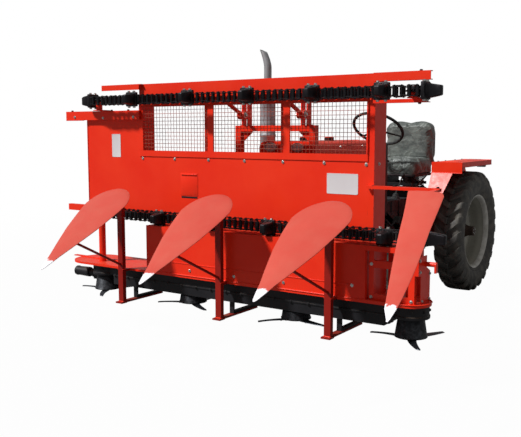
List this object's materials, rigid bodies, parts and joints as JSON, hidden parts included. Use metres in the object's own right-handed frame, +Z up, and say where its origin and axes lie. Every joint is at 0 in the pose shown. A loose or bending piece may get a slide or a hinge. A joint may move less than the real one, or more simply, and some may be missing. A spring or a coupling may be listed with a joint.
{
  "type": "tractor-mounted maize harvester",
  "caption": "Small farm tractor with a front-mounted maize stalk header: red panel with a mesh window, finger chains, leaf dividers, skids and bell cutters.",
  "frame": {"origin": "on the ground, at the middle of the machine's length and width", "axes": "+Z up, the machine faces -Y, +X is its left side"},
  "size_m": [3.024, 4.48, 2.0222],
  "materials": {
    "red_paint": "gloss",
    "coral_paint": "gloss",
    "black_steel": "satin",
    "chain_steel": "oiled",
    "blade_steel": "satin",
    "engine_iron": "painted",
    "rod_chrome": "polished",
    "exhaust_steel": "weathered",
    "tyre": "matt",
    "rim_paint": "satin",
    "seat_cover": "creased",
    "wheel_plastic": "matt"
  },
  "bodies": {
    "chassis": {"portal_frame": "red_paint", "engine_block": "engine_iron", "transmission": "engine_iron", "front_axle": "engine_iron", "hood": "red_paint", "dash_column": "black_steel", "steering_wheel": "wheel_plastic", "seat_frame": "black_steel", "seat_cushion": "seat_cover", "fenders": "red_paint", "footboards": "red_paint", "exhaust": "exhaust_steel", "rear_linkage": "black_steel"},
    "header": {"header_panel": "red_paint", "window_frame": "red_paint", "window_mesh": "red_paint", "top_cover": "red_paint", "side_posts": "red_paint", "header_rails": "red_paint", "header_frame": "red_paint", "upper_chain": "chain_steel", "lower_chain": "chain_steel", "chain_shafts": "red_paint", "deck": "red_paint", "skirt": "red_paint", "right_end_frame": "red_paint", "skid_posts": "red_paint", "skid_brackets": "black_steel", "gear_case": "black_steel", "dividers": "coral_paint"},
    "lower_links": {"lower_links": "red_paint"},
    "upper_links": {"upper_links": "red_paint"},
    "lift_barrel": {"lift_barrel": "black_steel"},
    "lift_rod": {"lift_rod": "rod_chrome"},
    "cutter_1": {"cutter_1": "blade_steel"},
    "cutter_2": {"cutter_2": "blade_steel"},
    "cutter_3": {"cutter_3": "blade_steel"},
    "cutter_4": {"cutter_4": "blade_steel"},
    "knuckle_left": {"knuckle_left": "engine_iron"},
    "knuckle_right": {"knuckle_right": "engine_iron"},
    "front_wheel_left": {"front_tyre_left": "tyre", "front_rim_left": "rim_paint"},
    "front_wheel_right": {"front_tyre_right": "tyre", "front_rim_right": "rim_paint"},
    "rear_wheel_left": {"rear_tyre_left": "tyre", "rear_rim_left": "rim_paint"},
    "rear_wheel_right": {"rear_tyre_right": "tyre", "rear_rim_right": "rim_paint"}
  },
  "joints": [
    {"name": "header_lift", "type": "hinge", "parent": "chassis", "child": "lower_links", "pos_m": [0, -0.88, 0.62], "axis": [1, 0, 0], "range_deg": [0, 50]},
    {"name": "header_level", "type": "hinge", "parent": "lower_links", "child": "header", "pos_m": [0, -1.11564, 0.72988], "axis": [1, 0, 0], "range_deg": [-50, 0]},
    {"name": "upper_link_turn", "type": "hinge", "parent": "chassis", "child": "upper_links", "pos_m": [0, -0.88, 1.52], "axis": [1, 0, 0], "range_deg": [0, 50]},
    {"name": "lift_barrel_turn", "type": "hinge", "parent": "chassis", "child": "lift_barrel", "pos_m": [0, -0.89, 0.48], "axis": [1, 0, 0], "range_deg": [0, 21]},
    {"name": "lift_rod_slide", "type": "slide", "parent": "lift_barrel", "child": "lift_rod", "axis": [0, -0.4732, 0.8809], "range_m": [-0.167, 0]},
    {"name": "cutter_1_spin", "type": "hinge", "parent": "header", "child": "cutter_1", "pos_m": [-1.1, -1.35, 0.3], "axis": [0, 0, 1], "continuous": true},
    {"name": "cutter_2_spin", "type": "hinge", "parent": "header", "child": "cutter_2", "pos_m": [-0.31, -1.35, 0.3], "axis": [0, 0, 1], "continuous": true},
    {"name": "cutter_3_spin", "type": "hinge", "parent": "header", "child": "cutter_3", "pos_m": [0.49, -1.35, 0.3], "axis": [0, 0, 1], "continuous": true},
    {"name": "cutter_4_spin", "type": "hinge", "parent": "header", "child": "cutter_4", "pos_m": [1.23, -1.35, 0.3], "axis": [0, 0, 1], "continuous": true},
    {"name": "steer_left", "type": "hinge", "parent": "chassis", "child": "knuckle_left", "pos_m": [0.4, -0.13, 0.4], "axis": [0, 0, 1], "range_deg": [-35, 35]},
    {"name": "steer_right", "type": "hinge", "parent": "chassis", "child": "knuckle_right", "pos_m": [-0.4, -0.13, 0.4], "axis": [0, 0, 1], "range_deg": [-35, 35]},
    {"name": "front_wheel_left_spin", "type": "hinge", "parent": "knuckle_left", "child": "front_wheel_left", "pos_m": [0.52, -0.13, 0.345], "axis": [1, 0, 0], "continuous": true},
    {"name": "front_wheel_right_spin", "type": "hinge", "parent": "knuckle_right", "child": "front_wheel_right", "pos_m": [-0.52, -0.13, 0.345], "axis": [1, 0, 0], "continuous": true},
    {"name": "rear_wheel_left_spin", "type": "hinge", "parent": "chassis", "child": "rear_wheel_left", "pos_m": [0.588, 1.4, 0.53], "axis": [1, 0, 0], "continuous": true},
    {"name": "rear_wheel_right_spin", "type": "hinge", "parent": "chassis", "child": "rear_wheel_right", "pos_m": [-0.588, 1.4, 0.53], "axis": [1, 0, 0], "continuous": true}
  ],
  "couplings": [
    {"joint": "header_level", "follows": "header_lift", "ratio": -1},
    {"joint": "upper_link_turn", "follows": "header_lift", "ratio": 1},
    {"joint": "lift_barrel_turn", "follows": "header_lift", "ratio": 0.4147},
    {"joint": "lift_rod_slide", "follows": "header_lift", "m_per_rad": -0.1907},
    {"joint": "steer_right", "follows": "steer_left", "ratio": 1},
    {"joint": "cutter_2_spin", "follows": "cutter_1_spin", "ratio": 1},
    {"joint": "cutter_3_spin", "follows": "cutter_1_spin", "ratio": 1},
    {"joint": "cutter_4_spin", "follows": "cutter_1_spin", "ratio": 1}
  ]
}
